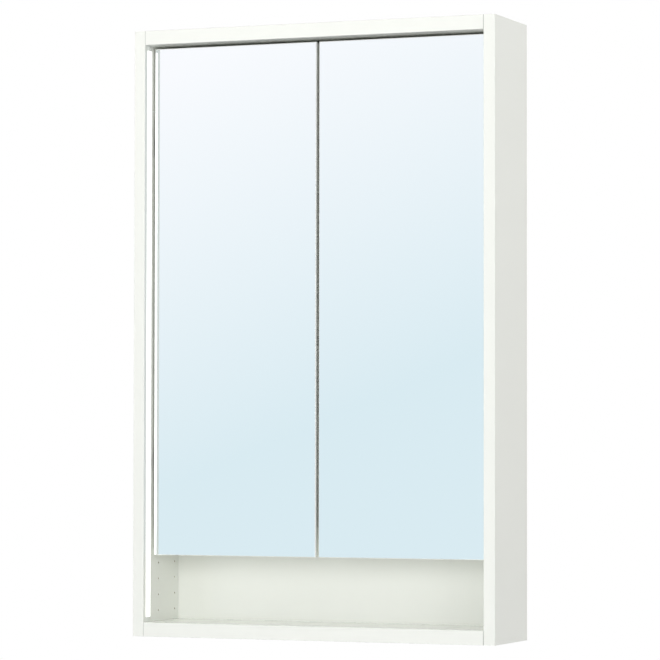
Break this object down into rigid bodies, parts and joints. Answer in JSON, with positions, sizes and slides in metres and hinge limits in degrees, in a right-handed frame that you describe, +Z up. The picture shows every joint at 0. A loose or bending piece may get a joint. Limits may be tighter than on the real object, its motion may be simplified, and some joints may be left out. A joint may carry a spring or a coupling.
{
  "type": "mirror cabinet",
  "caption": "Wall-hung lighted mirror cabinet with inset mirror doors, an open shelf below them and light strips let into the side panels.",
  "frame": {"origin": "on the wall plane, midway between the two wall fixing holes of the hanging rail", "axes": "+Z up, +Y into the wall, -Y out of the front, +X to the right of someone facing the front"},
  "size_m": [0.6, 0.15, 0.95],
  "materials": {
    "white_board": "white foil on particleboard, satin",
    "white_hardboard": "white lacquered hardboard, satin",
    "raw_chipboard": "raw particleboard",
    "mirror": "silvered float glass, ground edge",
    "clear_glass": "tempered, polished edge",
    "opal_diffuser": "opal, lit from behind",
    "anodised_aluminium": "clear anodised",
    "circuit_white": "solder mask",
    "led_phosphor": "phosphor window",
    "white_plastic": "fine matt",
    "grey_plastic": "fine matt",
    "cable_jacket": "soft sheath",
    "circuit_green": "solder mask",
    "black_nylon": "moulded",
    "nickel_steel": "nickel plated",
    "zinc_steel": "zinc plated",
    "beech": "raw",
    "clear_rubber": "soft, milky"
  },
  "bodies": {
    "cabinet": {"back_panel": "white_hardboard", "bottom_panel": "white_board", "cam_bolts": "zinc_steel", "cam_nuts": "zinc_steel", "door_buffers": "clear_rubber", "dowels": "beech", "driver_case": "grey_plastic", "driver_circuit_board": "circuit_green", "driver_lid": "grey_plastic", "driver_rivets": "white_plastic", "fixed_shelf": "white_board", "hanging_rail": "raw_chipboard", "high_glass_shelf": "clear_glass", "hinge_arm_screws": "zinc_steel", "hinge_plate_screws": "zinc_steel", "lead_clips": "white_plastic", "led_end_caps": "white_plastic", "left_diffuser": "opal_diffuser", "left_lead_cover": "white_plastic", "left_led_board": "circuit_white", "left_led_chips": "led_phosphor", "left_led_lead": "cable_jacket", "left_led_profile": "anodised_aluminium", "left_lower_hinge_arm": "nickel_steel", "left_lower_hinge_plate": "nickel_steel", "left_side_panel": "white_board", "left_upper_hinge_arm": "nickel_steel", "left_upper_hinge_plate": "nickel_steel", "low_glass_shelf": "clear_glass", "low_rail": "raw_chipboard", "mains_gland": "black_nylon", "right_diffuser": "opal_diffuser", "right_lead_cover": "white_plastic", "right_led_board": "circuit_white", "right_led_chips": "led_phosphor", "right_led_lead": "cable_jacket", "right_led_profile": "anodised_aluminium", "right_lower_hinge_arm": "nickel_steel", "right_lower_hinge_plate": "nickel_steel", "right_side_panel": "white_board", "right_upper_hinge_arm": "nickel_steel", "right_upper_hinge_plate": "nickel_steel", "shelf_pins": "nickel_steel", "terminal_block": "grey_plastic", "top_panel": "white_board"},
    "left_door": {"left_door_board": "white_board", "left_hinge_cup_screws": "zinc_steel", "left_lower_hinge_cup": "nickel_steel", "left_lower_hinge_pin": "zinc_steel", "left_mirror_glass": "mirror", "left_upper_hinge_cup": "nickel_steel", "left_upper_hinge_pin": "zinc_steel"},
    "right_door": {"right_door_board": "white_board", "right_hinge_cup_screws": "zinc_steel", "right_lower_hinge_cup": "nickel_steel", "right_lower_hinge_pin": "zinc_steel", "right_mirror_glass": "mirror", "right_upper_hinge_cup": "nickel_steel", "right_upper_hinge_pin": "zinc_steel"}
  },
  "joints": [
    {"name": "left_door_hinge", "type": "hinge", "parent": "cabinet", "child": "left_door", "pos_m": [-0.265, -0.1125, -0.36275], "axis": [0, 0, -1], "range_deg": [0, 95]},
    {"name": "right_door_hinge", "type": "hinge", "parent": "cabinet", "child": "right_door", "pos_m": [0.265, -0.1125, -0.36275], "axis": [0, 0, 1], "range_deg": [0, 95]}
  ]
}
